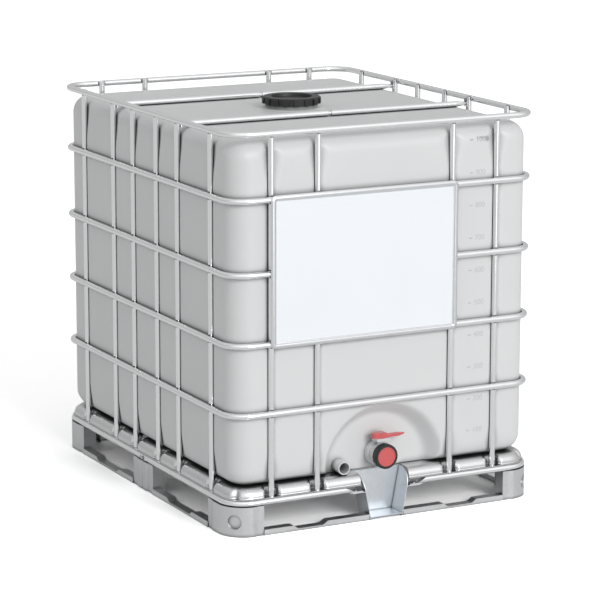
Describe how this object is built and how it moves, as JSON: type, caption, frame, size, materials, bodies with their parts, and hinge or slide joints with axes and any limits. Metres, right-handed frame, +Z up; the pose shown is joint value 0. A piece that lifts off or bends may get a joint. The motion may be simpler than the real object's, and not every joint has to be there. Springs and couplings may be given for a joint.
{
  "type": "intermediate bulk container",
  "caption": "Caged blow-moulded liquid tank on a pressed steel pallet, with a screw-capped filling neck, a lever valve at the foot, a bare label plate and cross bars.",
  "frame": {"origin": "middle of the footprint, on the floor that the pallet stands on", "axes": "+X to the right when facing the valve, -Y out of the front where the valve is, +Z up"},
  "size_m": [1, 1.205, 1.1515],
  "materials": {
    "bottle_plastic": "translucent natural polyethylene, slightly wavy from blow moulding",
    "valve_plastic": "light grey moulded plastic",
    "black_plastic": "black moulded plastic, satin",
    "red_plastic": "red moulded plastic, satin",
    "seal_rubber": "dark sealing rubber",
    "cage_steel": "galvanised tube",
    "plate_metal": "bare light sheet metal with a smooth pale coat",
    "pallet_steel": "galvanised pressed sheet",
    "fastener_steel": "zinc-plated steel"
  },
  "bodies": {
    "container": {"bottle": "bottle_plastic", "side_stub": "bottle_plastic", "valve_gasket": "seal_rubber", "union_nut": "valve_plastic", "valve_body": "valve_plastic", "ring_top": "cage_steel", "ring_upper": "cage_steel", "ring_middle": "cage_steel", "ring_lower": "cage_steel", "ring_base": "cage_steel", "upright_front_1": "cage_steel", "upright_front_2": "cage_steel", "upright_front_3": "cage_steel", "upright_front_4": "cage_steel", "upright_back_1": "cage_steel", "upright_back_2": "cage_steel", "upright_back_3": "cage_steel", "upright_back_4": "cage_steel", "upright_left_1": "cage_steel", "upright_left_2": "cage_steel", "upright_left_3": "cage_steel", "upright_left_4": "cage_steel", "upright_left_5": "cage_steel", "upright_left_6": "cage_steel", "upright_right_1": "cage_steel", "upright_right_2": "cage_steel", "upright_right_3": "cage_steel", "upright_right_4": "cage_steel", "upright_right_5": "cage_steel", "upright_right_6": "cage_steel", "bar_front_left": "cage_steel", "bar_front_right": "cage_steel", "bar_back_left": "cage_steel", "bar_back_right": "cage_steel", "bar_screws": "fastener_steel", "label_plate": "plate_metal", "bottom_rail": "pallet_steel", "deck": "pallet_steel", "valve_guard": "pallet_steel", "leg_front_left": "pallet_steel", "leg_front_right": "pallet_steel", "leg_back_left": "pallet_steel", "leg_back_right": "pallet_steel", "leg_mid_left": "pallet_steel", "leg_mid_right": "pallet_steel", "leg_mid_back": "pallet_steel", "skid_front": "pallet_steel", "skid_back": "pallet_steel", "skid_left": "pallet_steel", "skid_right": "pallet_steel", "rail_bolts": "fastener_steel"},
    "valve_lever": {"lever": "red_plastic", "lever_screw": "fastener_steel", "valve_stem": "fastener_steel", "valve_flap": "valve_plastic"},
    "outlet_closure": {"outlet_plate": "red_plastic", "outlet_seal": "seal_rubber"},
    "outlet_ring": {"outlet_ring": "black_plastic"},
    "cap_seal": {"cap_seal": "seal_rubber"},
    "screw_cap": {"screw_cap": "black_plastic"}
  },
  "joints": [
    {"name": "lever_turn", "type": "hinge", "parent": "container", "child": "valve_lever", "pos_m": [0, -0.5645, 0.181], "axis": [0, 0, 1], "range_deg": [-90, 0]},
    {"name": "outlet_slide", "type": "slide", "parent": "container", "child": "outlet_closure", "axis": [0, -1, 0], "range_m": [0, 0.018]},
    {"name": "outlet_turn", "type": "hinge", "parent": "outlet_closure", "child": "outlet_ring", "pos_m": [0, -0.58, 0.181], "axis": [0, -1, 0], "range_deg": [0, 1080]},
    {"name": "cap_lift", "type": "slide", "parent": "container", "child": "cap_seal", "axis": [0, 0, 1], "range_m": [0, 0.014]},
    {"name": "cap_turn", "type": "hinge", "parent": "cap_seal", "child": "screw_cap", "pos_m": [0, 0, 1.14], "axis": [0, 0, 1], "range_deg": [0, 720]}
  ],
  "couplings": [
    {"joint": "outlet_slide", "follows": "outlet_turn", "m_per_rad": 0.00095493},
    {"joint": "cap_lift", "follows": "cap_turn", "m_per_rad": 0.0011141}
  ]
}
